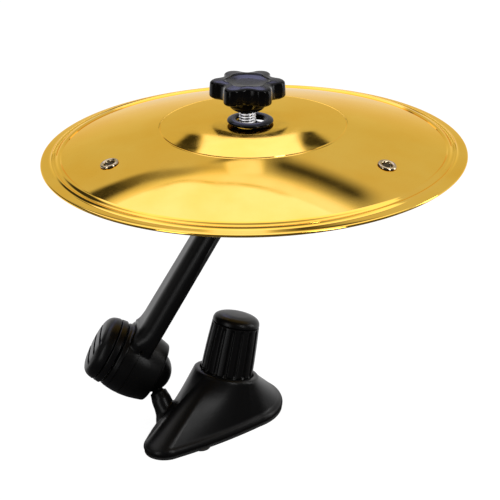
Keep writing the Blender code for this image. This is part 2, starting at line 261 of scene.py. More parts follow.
def combine(obj, others, how="DIFFERENCE"):
    """Booleans on obj with helpers that are then removed."""
    for other in others:
        mod = obj.modifiers.new(other.name, "BOOLEAN")
        mod.operation = how
        mod.solver = "EXACT"
        mod.object = other
    applied(obj)
    for other in others:
        bpy.data.objects.remove(other)
    return obj


def melt(objs, voxel, rounds):
    """One moulded skin over overlapping closed shapes, with its corners and joins rounded."""
    first = objs[0]
    join = {"active_object": first, "selected_editable_objects": objs}
    with bpy.context.temp_override(**join):
        bpy.ops.object.join()
    mod = first.modifiers.new("skin", "REMESH")
    mod.mode = "VOXEL"
    mod.voxel_size = voxel * MM
    mod.use_smooth_shade = True
    even = first.modifiers.new("even", "SMOOTH")
    even.factor = 0.5
    even.iterations = rounds
    return applied(first)


# ---------------------------------------------------------------- materials

def node_tree(tree):
    """Short ways to add a node, a maths node and a link to a node tree."""
    def add(kind, values=None, **settings):
        node = tree.nodes.new(kind)
        for key, value in settings.items():
            setattr(node, key, value)
        for key, value in (values or {}).items():
            if isinstance(value, bpy.types.NodeSocket):
                tree.links.new(value, node.inputs[key])
            else:
                node.inputs[key].default_value = value
        return node

    def calc(how, *values, clamp=False):
        return add("ShaderNodeMath", dict(enumerate(values)), operation=how, use_clamp=clamp).outputs[0]
    return add, calc


def ramp(add, source, low, high, out_low, out_high, kind="LINEAR"):
    values = {"Value": source, "From Min": low, "From Max": high, "To Min": out_low, "To Max": out_high}
    return add("ShaderNodeMapRange", values, interpolation_type=kind).outputs[0]


def new_material(name, metallic, roughness, **sockets):
    mat = bpy.data.materials.new(name)
    mat.use_nodes = True
    shader = mat.node_tree.nodes["Principled BSDF"]
    shader.inputs["Metallic"].default_value = metallic
    shader.inputs["Roughness"].default_value = roughness
    for key, value in sockets.items():
        shader.inputs[key.replace("_", " ")].default_value = value
    add, calc = node_tree(mat.node_tree)
    point = add("ShaderNodeTexCoord").outputs["Object"]
    return mat, shader, add, calc, point


def noise(add, point, size, detail=3.0, rough=0.5):
    """Noise whose features are about size millimetres across."""
    values = {"Vector": point, "Scale": 1 / (size * MM), "Detail": detail, "Roughness": rough}
    return add("ShaderNodeTexNoise", values).outputs["Fac"]


def two_tone(add, factor, dark, light):
    mix = add("ShaderNodeMix", data_type="RGBA")
    mix.inputs["A"].default_value = (*dark, 1)
    mix.inputs["B"].default_value = (*light, 1)
    mix.id_data.links.new(factor, mix.inputs["Factor"])
    return mix.outputs["Result"]


def feed(mat, shader, socket, output):
    mat.node_tree.links.new(output, shader.inputs[socket])


def bumped(mat, shader, add, height, depth, strength=1.0):
    """Bump from a height of 0 to 1 that stands for depth millimetres."""
    values = {"Height": height, "Strength": strength, "Distance": depth * MM}
    bump = add("ShaderNodeBump", values)
    feed(mat, shader, "Normal", bump.outputs["Normal"])


def gold(name, dark, light, rough, depth):
    """Lacquered gold: faint lathe lines, cloudy tone, a long soft unevenness and slightly hazy patches."""
    mat, shader, add, calc, point = new_material(name, 1.0, rough, Specular_Tint=(1.0, 0.85, 0.5, 1))
    flat = add("ShaderNodeVectorMath", {0: point, 1: (1, 1, 0)}, operation="MULTIPLY").outputs[0]
    radius = add("ShaderNodeVectorMath", {0: flat}, operation="LENGTH").outputs["Value"]
    rings = add("ShaderNodeCombineXYZ", {"X": radius}).outputs[0]
    lathe = noise(add, rings, 0.5, 1.0)
    cloud = ramp(add, noise(add, point, 22, 3.0), 0.3, 0.7, 0, 1)
    feed(mat, shader, "Base Color", two_tone(add, cloud, dark, light))
    smear = ramp(add, noise(add, point, 9, 4.0, 0.6), 0.35, 0.75, rough - 0.025, rough + 0.03)
    feed(mat, shader, "Roughness", calc("ADD", smear, ramp(add, lathe, 0.3, 0.7, 0.0, 0.02)))
    height = calc("ADD", noise(add, point, 30, 1.0), calc("MULTIPLY", lathe, 0.004))
    bumped(mat, shader, add, height, depth)
    return mat


def moulded(name, colour, roughness, shine, grain=0.004, worn=(0.03, 0.03, 0.031)):
    """Moulded plastic: fine grain, faint flow marks and slightly polished, paler edges."""
    mat, shader, add, calc, point = new_material(name, 0.0, roughness)
    shader.inputs["Specular IOR Level"].default_value = shine
    edges = add("ShaderNodeNewGeometry").outputs["Pointiness"]
    edges = ramp(add, edges, 0.53, 0.60, 0, 1)
    scuffed = calc("MULTIPLY", edges, noise(add, point, 3, 4.0, 0.6), clamp=True)
    feed(mat, shader, "Base Color", two_tone(add, scuffed, colour, worn))
    flow = noise(add, point, 14, 3.0)
    feed(mat, shader, "Roughness", ramp(add, flow, 0.3, 0.7, roughness - 0.035, roughness + 0.035))
    bumped(mat, shader, add, noise(add, point, 0.45, 4.0, 0.6), grain)
    return mat


def zinc():
    """Zinc-plated steel: cloudy grey with uneven gloss."""
    mat, shader, add, _, point = new_material("zinc_steel", 1.0, 0.22)
    cloud = noise(add, point, 2.5, 4.0, 0.6)
    feed(mat, shader, "Base Color", two_tone(add, cloud, (0.50, 0.50, 0.52), (0.82, 0.82, 0.83)))
    feed(mat, shader, "Roughness", ramp(add, cloud, 0.3, 0.7, 0.16, 0.30))
    bumped(mat, shader, add, noise(add, point, 0.3, 3.0), 0.004)
    return mat


def brass_insert():
    """Plain brass with a slightly uneven tone."""
    mat, shader, add, _, point = new_material("brass_insert", 1.0, 0.25)
    cloud = noise(add, point, 1.5, 3.0)
    feed(mat, shader, "Base Color", two_tone(add, cloud, (0.55, 0.36, 0.12), (0.78, 0.56, 0.24)))
    bumped(mat, shader, add, noise(add, point, 0.25, 3.0), 0.005)
    return mat


def felt():
    """Black felt: short fibres with a weak sheen."""
    sheen = {"Sheen_Weight": 0.4, "Sheen_Roughness": 0.5}
    mat, shader, add, _, point = new_material("black_felt", 0.0, 0.95, **sheen)
    fibre = noise(add, point, 0.35, 6.0, 0.7)
    feed(mat, shader, "Base Color", two_tone(add, fibre, (0.008, 0.008, 0.009), (0.035, 0.035, 0.037)))
    bumped(mat, shader, add, fibre, 0.12)
    return mat


def rubber():
    """Soft black pad with a little dust on it."""
    mat, shader, add, _, point = new_material("pad_rubber", 0.0, 0.6)
    dust = noise(add, point, 4, 5.0, 0.6)
    feed(mat, shader, "Base Color", two_tone(add, dust, (0.014, 0.014, 0.014), (0.03, 0.03, 0.031)))
    feed(mat, shader, "Roughness", ramp(add, dust, 0.3, 0.7, 0.5, 0.72))
    bumped(mat, shader, add, noise(add, point, 0.3, 4.0), 0.008)
    return mat


def nylon():
    """Natural nylon: off-white and slightly see-through."""
    mat, shader, add, _, point = new_material("natural_nylon", 0.0, 0.45, Subsurface_Weight=0.1)
    cloud = noise(add, point, 5, 3.0)
    feed(mat, shader, "Base Color", two_tone(add, cloud, (0.66, 0.64, 0.58), (0.78, 0.77, 0.72)))
    bumped(mat, shader, add, noise(add, point, 0.5, 3.0), 0.004)
    return mat


# ---------------------------------------------------------------- pieces

def show(obj, body, slot, material, *nodes):
    """obj rides on body, stands for the nodes and takes its finish from material; slot is not used."""
    obj.data.materials.clear()
    obj.data.materials.append(material)
    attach(obj, body)
    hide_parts(*nodes)
    return obj


def bow_slope(r):
    return BOW_SLOPE_IN + (BOW_SLOPE_OUT - BOW_SLOPE_IN) * (r - CREASE_R) / (BOW_END_R - CREASE_R)


def bow_height(r):
    """Top of the bow above the rim plane: the slope grows evenly from the bell to the beads."""
    h, steps = CREASE_H, 60
    for i in range(steps):
        here = CREASE_R + (i + 0.5) / steps * (r - CREASE_R)
        h -= math.tan(math.radians(bow_slope(here))) * (r - CREASE_R) / steps
    return h


def bell_height(r):
    """Top of the bell: flat round the hole, then a very shallow dome down to the crease."""
    part = max(0.0, r - FLAT_R) / (CREASE_R - FLAT_R)
    return SEAT_H - (SEAT_H - CREASE_H) * part * part


def spaced(low, high, count):
    return [low + (high - low) * i / (count - 1) for i in range(count)]


def cymbal_profile():
    """Shallow bell with a crisp edge, even bow, two beads and a thin flat brim."""
    bell = [(r, bell_height(r)) for r in spaced(HOLE_R, CREASE_R - 0.14, 30)]
    bell.append((CREASE_R, CREASE_H - 0.17))
    bow = [(r, bow_height(r)) for r in spaced(CREASE_R + 0.34, BOW_END_R, 44)]
    beads = [(68.1, 2.42), (68.7, 2.26), (69.1, 1.9), (69.5, 1.5), (69.9, 1.32), (70.3, 1.4), (70.7, 1.68)]
    beads += [(71.1, 1.66), (71.45, 1.3), (71.8, 1.02), (72.3, 0.93), (73.4, 0.74), (74.4, 0.57)]
    lip = [(74.65, 0.5), (74.83, 0.38), (74.94, 0.22), (CYMBAL_R, 0.03), (74.97, -0.16), (74.88, -0.32)]
    lip += [(74.7, -0.42), (74.3, -0.4)]
    under = [(r, bow_height(r) - SHEET) for r in spaced(BOW_END_R, CREASE_R + 0.5, 30)]
    inner = [(r, bell_height(r) - SHEET) for r in spaced(CREASE_R - 0.4, HOLE_R, 14)]
    return bell + bow + beads + lip + [(71.4, 0.0), (69.6, 0.35)] + under + inner


def eyelet_place(azimuth):
    """Where an eyelet stands, square to the bow."""
    t, lean = math.radians(azimuth), math.radians(bow_slope(EYELET_R))
    axis = (math.sin(lean) * math.cos(t), math.sin(lean) * math.sin(t), math.cos(lean))
    at = (EYELET_R * math.cos(t), EYELET_R * math.sin(t), RIM_Z + bow_height(EYELET_R))
    return place(at, axis)


def make_cymbal(metal, eyelet_metal):
    """The sheet, bored for its three rolled eyelets."""
    cymbal = revolve("cymbal_sheet", cymbal_profile(), 288, ON_CYMBAL, tube=True)
    holes = []
    ring = [(2.0, 0.55), (2.5, 0.8), (3.05, 0.7), (3.35, 0.2), (3.2, 0.15), (2.35, 0.15), (2.35, -1.3)]
    ring += [(3.1, -1.35), (3.0, -1.75), (2.0, -1.8), (1.75, -1.2), (1.75, 0.2)]
    for i, azimuth in enumerate(EYELET_AZ, 1):
        where = eyelet_place(azimuth)
        barrel = [(0, -3), (EYELET_HOLE_R, -3), (EYELET_HOLE_R, 3), (0, 3)]
        holes.append(revolve(f"hole_{i}", barrel, 48, where))
        eyelet = revolve(f"rolled_eyelet_{i}", rounded(ring, 0.3, closed=True), 56, where, tube=True)
        show(eyelet, "cymbal", "cymbal_brass", eyelet_metal, f"eyelet_{i}")
    combine(cymbal, holes)
    show(cymbal, "cymbal", "cymbal_brass", metal, "cymbal")


def hexagon(across):
    """A shape for turned that cuts six flats this far apart."""
    def shape(t, r, h):
        a = t % (math.pi / 3) - math.pi / 6
        return min(r, across / 2 / math.cos(a))
    return shape


def screw_thread(t, r, h):
    """A rounded V groove that climbs one pitch a turn, running out at both ends."""
    if r < THREAD_ROOT or not THREAD_LOW - 0.5 < h < THREAD_HIGH + 0.5:
        return r
    phase = (h / PITCH - t / (2 * math.pi)) % 1.0
    crest = 0.5 + 0.5 * math.cos(2 * math.pi * phase)
    fade = min(1.0, (h - THREAD_LOW + 0.5) / 0.5, (THREAD_HIGH + 0.5 - h) / 0.5)
    return r - (r - THREAD_ROOT) * (1 - crest ** 0.8) * fade


def make_stud(metal):
    """The threaded stud with its head, lock nut and seat washer."""
    rows = [(0, -11.0), (STUD_R, -11.0), (STUD_R, THREAD_LOW - 0.6)]
    rows += [(STUD_R, h) for h in spaced(THREAD_LOW - 0.5, THREAD_HIGH + 0.5, 120)]
    rows += [(STUD_R, 24.4), (2.4, 25.2), (0, 25.2)]
    stud = revolve("threaded_stud", rows, 48, ON_STUD, shape=screw_thread, crease=60)
    head = [(0, -13.0), (5.1, -13.0), (6.2, -12.3), (6.2, -9.3), (0, -9.3)]
    head = revolve("head", rounded(head, 0.4), 72, ON_STUD, shape=hexagon(HEX_ACROSS))
    combine(stud, [head], "UNION")
    show(stud, "arm", "zinc_steel", metal, "stud")
    nut = [(3.2, 0.3), (5.0, 0.3), (5.9, 0.7), (5.9, 4.2), (5.0, 4.6), (3.2, 4.6)]
    nut = revolve("hex_lock_nut", rounded(nut, 0.25, closed=True), 72, ON_STUD, True, hexagon(HEX_ACROSS))
    show(nut, "arm", "zinc_steel", metal, "lock_nut")
    plate = [(3.3, 4.9), (9.5, 4.9), (9.5, 6.1), (3.3, 6.1)]
    plate = revolve("cup_washer", rounded(plate, 0.3, closed=True), 96, ON_STUD, tube=True)
    show(plate, "arm", "zinc_steel", metal, "seat_washer")


def make_washers(cloth, plastic):
    soft = [(5.2, 6.4), (8.8, 6.4), (9.1, 6.9), (8.9, 8.6), (8.3, 9.7), (7.5, 10.3), (5.2, 10.4)]
    soft = revolve("felt_washer", rounded(soft, 0.5, closed=True), 96, ON_SEAT, tube=True)
    show(soft, "arm", "felt", cloth, "lower_felt")
    hard = [(5.2, 12.5), (5.9, 12.5), (8.0, 12.8), (8.2, 13.1), (8.0, 13.55), (7.2, 13.9), (6.0, 14.0)]
    hard += [(5.3, 13.85), (5.1, 13.6)]
    hard = revolve("ring_washer", rounded(hard, 0.3, closed=True), 96, ON_SEAT, tube=True)
    show(hard, "washer", "knob_black", plastic, "upper_washer")


def star(t, r, h):
    """Six lobes: the full radius on the lobes, less in the valleys, round near the middle."""
    if r < 7.2:
        return r
    wave = math.cos(6 * t)
    lobe = math.copysign(abs(wave) ** 0.8, wave)
    return r - 1.55 * (1 - lobe) * min(1.0, (r - 7.2) / 3.0)


def make_star_knob(plastic):
    """The hand knob: a narrow skirt, six lobes and a raised ring round a flat middle."""
    side = [(0, 16.8), (3.2, 16.8), (4.7, 17.2), (5.9, 18.0), (6.7, 19.1), (7.0, 20.4), (7.15, 21.7)]
    side += [(12.3, 21.6), (13.3, 22.3), (13.2, 25.2), (13.0, 27.2), (12.3, 27.75), (10.0, 27.85)]
    side += [(8.7, 27.9), (8.0, 28.0), (7.2, 27.55), (4.0, 27.3), (0, 27.25)]
    knob = revolve("lobed_knob", rounded(side, 0.6, steps=5), 240, ON_STUD, shape=star, crease=55)
    bore = [(0, 15), (3.3, 15), (3.3, 19.6), (4.8, 19.6), (4.8, 25.8), (0, 25.8)]
    bore = revolve("bore", bore, 40, ON_STUD)
    combine(knob, [bore])
    soften(knob, 50)
    show(knob, "knob", "knob_black", plastic, "star_knob")


def arm_section(s, far, width, edge, bevel):
    """Points across the arm at height s: rounded edges on the far side, bevels on the near side."""
    half, near = width / 2, ARM_NEAR
    points = []
    for i in range(9):
        t = math.pi / 2 * i / 8
        points.append((far - edge + edge * math.sin(t), -(half - edge + edge * math.cos(t))))
    points += [(z, -y) for z, y in reversed(points)]
    points += [(near + bevel, half), (near, half - bevel), (near, bevel - half), (near + bevel, -half)]
    return [(s, y, z) for z, y in points]


def make_arm(plastic):
    """The arm: a bar, the barrel of the socket and the boss for the stud, moulded as one, then bored."""
    rows = []
    for s, far, width, edge in ((2.0, 11.0, 18.0, 2.0), (9.0, 12.6, 20.0, 3.4), (11.8, 12.8, 21.5, 4.4),
                                (13.2, 12.3, 21.5, 5.0), (15.0, 11.9, 21.5, 5.6), (18.0, 11.7, 21.5, 6.0)):
        rows.append(arm_section(s, far, width, edge, 0.4))
    for s in spaced(24.0, ARM_TOP, 9):
        part = (s - 18.0) / (ARM_TOP - 18.0)
        rows.append(arm_section(s, 11.7, 21.5 - 3.5 * part, 6.0, 0.4 + 3.0 * part))
    verts, faces = loft(rows)
    bar = mesh_object("arm_bar", verts, faces, ON_BALL)
    shell = [(0, -2.8), (11.2, -2.8), (11.5, -2.5), (12.15, 0.0), (12.8, 3.0), (13.1, 6.0), (13.1, 9.0)]
    shell += [(12.6, 12.9), (12.35, 13.2), (12.2, 14.4), (0, 14.4)]
    barrel = revolve("barrel", rounded(shell, 0.8), 128, ON_BALL)
    boss = [(0, -9.0), (7.4, -9.0), (8.2, -8.2), (8.2, -0.8), (7.4, 0.0), (0, 0.0)]
    boss = revolve("boss", rounded(boss, 0.5), 96, ON_STUD)
    arm = melt([bar, barrel, boss], 0.36, 5)
    hole = [(0, -20), (6.8, -20), (6.8, -9.0), (3.25, -9.0), (3.25, 3), (0, 3)]
    bore = [(0, -6.0), (12.0, -6.0), (9.2, -2.6), (9.2, -2.2), (10.2, -2.2), (10.2, 11.8), (3.3, 11.8)]
    bore += [(3.3, 16.0), (0, 16.0)]
    cutters = [revolve("stud_hole", hole, 48, ON_STUD), revolve("ball_bore", bore, 96, ON_BALL)]
    for s, r in BARREL_LINES:
        groove = [(r, s - 0.2), (14.5, s - 0.4), (14.5, s + 0.4), (r, s + 0.2)]
        cutters.append(revolve("line", groove, 128, ON_BALL, tube=True))
    combine(arm, cutters)
    soften(arm, 45)
    arm.name = "moulded_arm"
    show(arm, "arm", "satin_black", plastic, "arm")


def make_rear_knob(plastic):
    ring = [(9.1, 14.9), (12.3, 14.9), (12.5, 15.15), (12.3, 17.0), (12.05, 17.3), (9.1, 17.3)]
    ring = revolve("knurl_ring", rounded(ring, 0.3, closed=True), 128, ON_BALL, tube=True)
    show(ring, "clamp", "satin_black", plastic, "clamp_ring")
    cap = [(0, 15.0), (8.8, 15.0), (8.8, 17.6), (12.0, 17.6), (12.25, 17.85), (12.0, 19.2), (11.5, 20.5)]
    cap += [(10.5, 21.6), (8.9, 22.3), (7.0, 22.55), (0, 22.7)]
    cap = revolve("grip_cap", rounded(cap, 0.6), 128, ON_BALL)
    cutters = [revolve("screw_hole", [(0, 12), (3.25, 12), (3.25, 21.0), (0, 21.0)], 40, ON_BALL)]
    for s in GRIP_GROOVES:
        ends = [(s + 0.75 * math.cos(t), 8.0 * side + 0.75 * math.sin(t))
                for side, low in ((1, 0), (-1, math.pi)) for t in spaced(low, low + math.pi, 9)]
        verts, faces = loft([[(x, y, z) for x, y in ends] for z in (21.9, 25.0)])
        cutters.append(mesh_object("groove", verts, faces, ON_BALL))
    combine(cap, cutters)
    soften(cap)
    show(cap, "clamp", "satin_black", plastic, "clamp_cap")


def make_ball(plastic):
    rows = [(BALL_R * math.cos(t), BALL_R * math.sin(t)) for t in spaced(-1.35, 1.28, 60)]
    rows = [(0, rows[0][1])] + rows + [(2.4, rows[-1][1]), (2.4, -2.5), (0, -2.5)]
    ball = revolve("swivel_ball", rows, 96, ON_NECK)
    show(ball, "ball", "satin_black", plastic, "ball")


# ---------------------------------------------------------------- foot

def bulged(a, b, count):
    """Points on a slightly convex side from a to b."""
    dx, dy = b[0] - a[0], b[1] - a[1]
    size = math.hypot(dx, dy)
    out = (dy / size * SIDE_BULGE, -dx / size * SIDE_BULGE)
    points = []
    for i in range(1, count):
        f = i / count
        lift = 4.5 * f * (1 - f)
        points.append((a[0] + dx * f + out[0] * lift, a[1] + dy * f + out[1] * lift, a[2]))
    return points


def egg(inset, z, count=96):
    """The foot's outline: two circles and their common tangents."""
    (nx, ny, nr), (hx, hy, hr) = NOSE, HEEL
    nr, hr = nr - inset, hr - inset
    base = math.atan2(hy - ny, hx - nx)
    open_by = math.acos((hr - nr) / math.hypot(hx - nx, hy - ny))
    wide = math.pi - open_by
    heel = [(hx + hr * math.cos(base + t), hy + hr * math.sin(base + t), z)
            for t in spaced(-wide, wide, int(count * 0.6))]
    tip = [(nx + nr * math.cos(base + wide + t), ny + nr * math.sin(base + wide + t), z)
           for t in spaced(0, 2 * open_by, int(count * 0.3))]
    return heel + bulged(heel[-1], tip[0], 10) + tip + bulged(tip[-1], heel[0], 10)


def ring_points(radius, height, like):
    """A circle square to the dial's axis, each point on the side of the matching outline point."""
    turn, centre = Vector(RING_AXIS).to_track_quat("Z", "Y"), Vector(RING)
    up = turn @ Vector((0, 0, 1))
    points = []
    for x, y, _ in like:
        t = math.atan2(y - RING[1] - 1.5, x - RING[0] + 3.0)
        side = Vector((math.cos(t), math.sin(t), 0))
        side = (side - up * side.dot(up)).normalized()
        points.append(tuple(centre + side * radius + up * height))
    return points


def between(a, b, part):
    return [tuple(p + (q - p) * part for p, q in zip(u, v)) for u, v in zip(a, b)]


def make_housing(plastic):
    """The foot's shell, from its egg-shaped outline up to the dial's ring, with the neck of the ball."""
    rows = [egg(0.25, SKIRT_Z), egg(0.0, SKIRT_Z + 0.3), egg(0.0, 2.4), egg(0.45, 3.4), egg(1.5, SKIRT_TOP)]
    foot = rows[-1]
    rim = ring_points(RING_R, -0.9, foot)
    rows += [between(foot, rim, part) for part in spaced(0.1, 0.9, 9)]
    rows += [rim, ring_points(RING_R - 0.25, -0.3, foot), ring_points(RING_R - 0.9, 0.0, foot)]
    verts, faces = loft(rows)
    body = mesh_object("foot_body", verts, faces, place())
    neck = [(0, 8.9), (3.1, 8.9), (3.3, 10.2), (3.7, 12.0), (3.8, 15.0), (4.1, 17.0), (4.9, 18.8)]
    neck = revolve("neck", neck + [(5.4, 20.4), (0, 20.4)], 64, ON_NECK)
    pin = revolve("pin", [(0, 0.5), (2.1, 0.5), (2.1, 10.0), (0, 10.0)], 40, ON_NECK)
    housing = melt([body, neck, pin], 0.38, 4)
    inner, deep = egg(4.4, 4.6), -4.5
    hollow = [egg(2.4, 0.0), egg(2.4, 3.4), inner]
    hollow += [between(inner, ring_points(8.6, deep, inner), 0.5), ring_points(8.6, deep, inner)]
    verts, faces = loft(hollow)
    hollow = mesh_object("hollow", verts, faces, place())
    post = [(0, 3.2), (2.9, 3.2), (2.9, 12), (0, 12)]
    posts = [revolve("post", post, 32, place((x, y, 0))) for x, y in SCREW_AT]
    combine(hollow, posts)
    recess = [(0, -9.0), (3.4, -9.0), (3.4, -2.3), (10.3, -2.3), (10.3, 0.6), (11.0, 1.5), (0, 1.5)]
    recess = revolve("recess", rounded(recess, 0.4), 128, ON_RING)
    combine(housing, [hollow, recess])
    soften(housing, 45)
    housing.name = "foot_housing"
    show(housing, "foot", "satin_black", plastic, "housing")


def make_pad(soft):
    levels = ((0.7, 0.0), (0.4, 0.08), (0.3, 0.25), (0.3, 0.8), (0.36, 0.93), (0.5, PAD_TOP))
    verts, faces = loft([egg(inset, z) for inset, z in levels])
    pad = mesh_object("soft_pad", verts, faces, place())
    tab = [(0, 0.1), (3.0, 0.1), (3.4, 0.35), (3.4, 0.75), (3.1, 0.95), (0, 0.95)]
    tab = revolve("tab", rounded(tab, 0.15), 64, place((*TAB, 0)))
    combine(pad, [tab], "UNION")
    soften(pad)
    show(pad, "foot", "pad_rubber", soft, "pad")


def flutes(t, r, h):
    """Flat ridges with narrow round grooves between them, fading out at both ends of the grip."""
    if r < 8.3:
        return r
    phase = (t * DIAL_FLUTES / (2 * math.pi)) % 1.0
    edge = abs(phase - 0.5) * 2
    depth = 0.0 if edge < 0.55 else 0.8 * math.sin(math.pi / 2 * min(1.0, (edge - 0.55) / 0.3))
    fade = max(0.0, min(1.0, (h + 0.3) / 0.8, (18.2 - h) / 0.9))
    return r - depth * fade


def make_dial(plastic):
    side = [(0, -0.9), (9.2, -0.9), (9.6, -0.5), (9.75, 0.1)]
    side += [(9.75 - 0.4 * f - 0.5 * f * f, 0.1 + 17.9 * f) for f in spaced(0.02, 1.0, 40)]
    side += [(8.8, 18.35), (8.5, 18.5), (0, 18.5)]
    dial = revolve("fluted_dial", side, DIAL_FLUTES * 24, ON_RING, shape=flutes, crease=50)
    bore = revolve("dial_bore", [(0, -3), (3.3, -3), (3.3, 15.2), (0, 15.2)], 40, ON_RING)
    combine(dial, [bore])
    soften(dial, 50)
    show(dial, "dial", "satin_black", plastic, "dial")
    cap = [(0, 18.75), (8.5, 18.75), (8.8, 19.0), (8.65, 20.1), (8.1, 21.0), (6.9, 21.7), (4.6, 22.2)]
    cap = revolve("domed_cap", rounded(cap + [(0, 22.4)], 0.9, steps=5), 128, ON_RING)
    show(cap, "dial", "satin_black", plastic, "dial_cap")


def finish_frame(nodes, materials):
    """Materials for the CAD nodes that stay as they are."""
    for name, material in materials.items():
        mesh = nodes[name].data
        mesh.materials.clear()
        mesh.materials.append(material)
        mesh.shade_smooth()
        mesh.set_sharp_from_angle(angle=math.radians(35))


def hide_from_mirrors():
    """Knob, stud and insert are hidden from mirror rays; the window's sill stands for the knob's image."""
    for name in ("lobed_knob", "threaded_stud", "knob_insert"):
        bpy.data.objects[name].visible_glossy = False


# ---------------------------------------------------------------- studio

def card(add, calc, across, level, centre, half, middle, thick, soft_side, soft_edge):
    """1 on a card centred at this heading and level, 0 off it."""
    off = calc("ABSOLUTE", calc("SUBTRACT", across, centre))
    rise = calc("ABSOLUTE", calc("SUBTRACT", level, middle))
    side = ramp(add, off, half - soft_side, half + soft_side, 1.0, 0.0, "SMOOTHSTEP")
    edge = ramp(add, rise, thick - soft_edge, thick + soft_edge, 1.0, 0.0, "SMOOTHSTEP")
    return calc("MULTIPLY", side, edge)


def dark_cards(add, calc, turn, height, above):
    """The dark shapes by the dome's edge: a short card right, a long thin one left, a faint line between."""
    right = card(add, calc, turn, above, 12.0, 9.0, -3.9, 2.3, 3.0, 2.4)
    drop = calc("SUBTRACT", above, ramp(add, turn, -18.0, -10.0, -3.7, -1.5, "SMOOTHSTEP"))
    thin = calc("SUBTRACT", calc("ABSOLUTE", drop), ramp(add, turn, -23.0, -5.0, 2.3, 0.6))
    left = ramp(add, thin, -0.9, 1.0, 1.0, 0.0, "SMOOTHSTEP")
    left = calc("MULTIPLY", left, ramp(add, turn, -34.0, -27.0, 0.0, 1.0))
    left = calc("MULTIPLY", left, ramp(add, turn, -21.0, -6.0, 1.0, 0.0))
    line = card(add, calc, turn, height, 0.5, 6.5, 40.2, 0.6, 2.5, 0.5)
    return calc("MAXIMUM", calc("MAXIMUM", right, left), calc("MULTIPLY", line, 0.8))


def sky_level(add, calc, turn, above):
    """The dome in two levels of light, with a darker seam where they meet."""
    step = calc("SUBTRACT", above, ramp(add, turn, -14.0, -6.0, 1.0, 3.4, "SMOOTHSTEP"))
    sky = ramp(add, step, -0.3, 0.3, *SKY_LEVELS, "SMOOTHSTEP")
    seam = ramp(add, calc("ABSOLUTE", step), 0.15, 0.75, SEAM_DEPTH, 0.0, "SMOOTHSTEP")
    sideways = calc("ABSOLUTE", calc("ADD", turn, 5))
    seam = calc("MULTIPLY", seam, ramp(add, sideways, 10.0, 14.0, 1.0, 0.0, "SMOOTHSTEP"))
    return calc("SUBTRACT", sky, seam)


def studio_level(add, calc, heading, height):
    """How bright the studio is at a heading and height: dome, horizon, cards, flag and window."""
    turn = calc("WRAP", heading, REPEAT / 2, -REPEAT / 2)
    wave = calc("MULTIPLY", calc("SINE", calc("MULTIPLY", turn, math.radians(3))), DOME_WAVE)
    above = calc("SUBTRACT", height, calc("ADD", wave, DOME_EDGE))
    dome = ramp(add, above, -1.6, 1.6, 0.0, 1.0, "SMOOTHSTEP")
    low_part = card(add, calc, turn, height, -1.5, 3.4, 43.2, 2.2, 0.8, 0.4)
    dome = calc("MAXIMUM", dome, low_part)
    horizon = ramp(add, height, -12.0, 22.0, *HORIZON_LEVELS, "SMOOTHSTEP")
    sky = sky_level(add, calc, turn, above)
    level = add("ShaderNodeMix", {"Factor": dome, "A": horizon, "B": sky}, data_type="FLOAT").outputs[0]
    dark = calc("MULTIPLY", dark_cards(add, calc, turn, height, above), CARD_DEPTH)
    level = calc("MULTIPLY", level, calc("SUBTRACT", 1.0, dark))
    level = calc("MULTIPLY", level, side_flag(add, calc, height, heading))
    bright, frames = bell_window(add, calc, height, turn)
    return calc("MULTIPLY", calc("ADD", level, bright), calc("SUBTRACT", 1.0, frames))


def make_world():
    """The studio that the object mirrors, dim behind the camera. The camera itself sees plain white."""
    world = bpy.data.worlds.new("studio")
    bpy.context.scene.world = world
    world.use_nodes = True
    tree = world.node_tree
    tree.nodes.clear()
    add, calc = node_tree(tree)
    ray = add("ShaderNodeSeparateXYZ", {0: add("ShaderNodeTexCoord").outputs["Generated"]})
    x, y, z = (ray.outputs[i] for i in range(3))
    height = calc("MULTIPLY", calc("ARCSINE", z), math.degrees(1))
    heading = calc("MULTIPLY", calc("ARCTAN2", x, y), math.degrees(1))
    level = studio_level(add, calc, heading, height)
    ahead = ramp(add, y, -0.4, 0.1, BEHIND_LEVEL, 1.0, "SMOOTHSTEP")
    cool = calc("MULTIPLY", ramp(add, level, 0.9, 1.4, 0.0, 1.0), ramp(add, y, 0.35, 0.6, 0.0, 1.0))
    tint = two_tone(add, cool, (1.0, 0.98, 0.97), (1.0, 1.0, 1.7))
    light = add("ShaderNodeBackground", {"Color": tint, "Strength": calc("MULTIPLY", level, ahead)})
    paper = add("ShaderNodeBackground", {"Color": (1, 1, 1, 1), "Strength": 1.0})
    seen = add("ShaderNodeLightPath").outputs["Is Camera Ray"]
    both = add("ShaderNodeMixShader", {0: seen, 1: light.outputs[0], 2: paper.outputs[0]})
    add("ShaderNodeOutputWorld", {"Surface": both.outputs[0]})


def side_flag(add, calc, height, heading):
    """A tall dark flag on the left, which the outer walls of the beads mirror as a dark line."""
    off = calc("ABSOLUTE", calc("SUBTRACT", heading, FLAG_HEADING))
    rise = calc("ABSOLUTE", calc("SUBTRACT", height, FLAG_HEIGHT))
    across = ramp(add, off, 20.0, 30.0, 1.0, 0.0, "SMOOTHSTEP")
    upright = ramp(add, rise, 15.0, 21.0, 1.0, 0.0, "SMOOTHSTEP")
    return calc("SUBTRACT", 1.0, calc("MULTIPLY", calc("MULTIPLY", across, upright), FRAME_DEPTH))


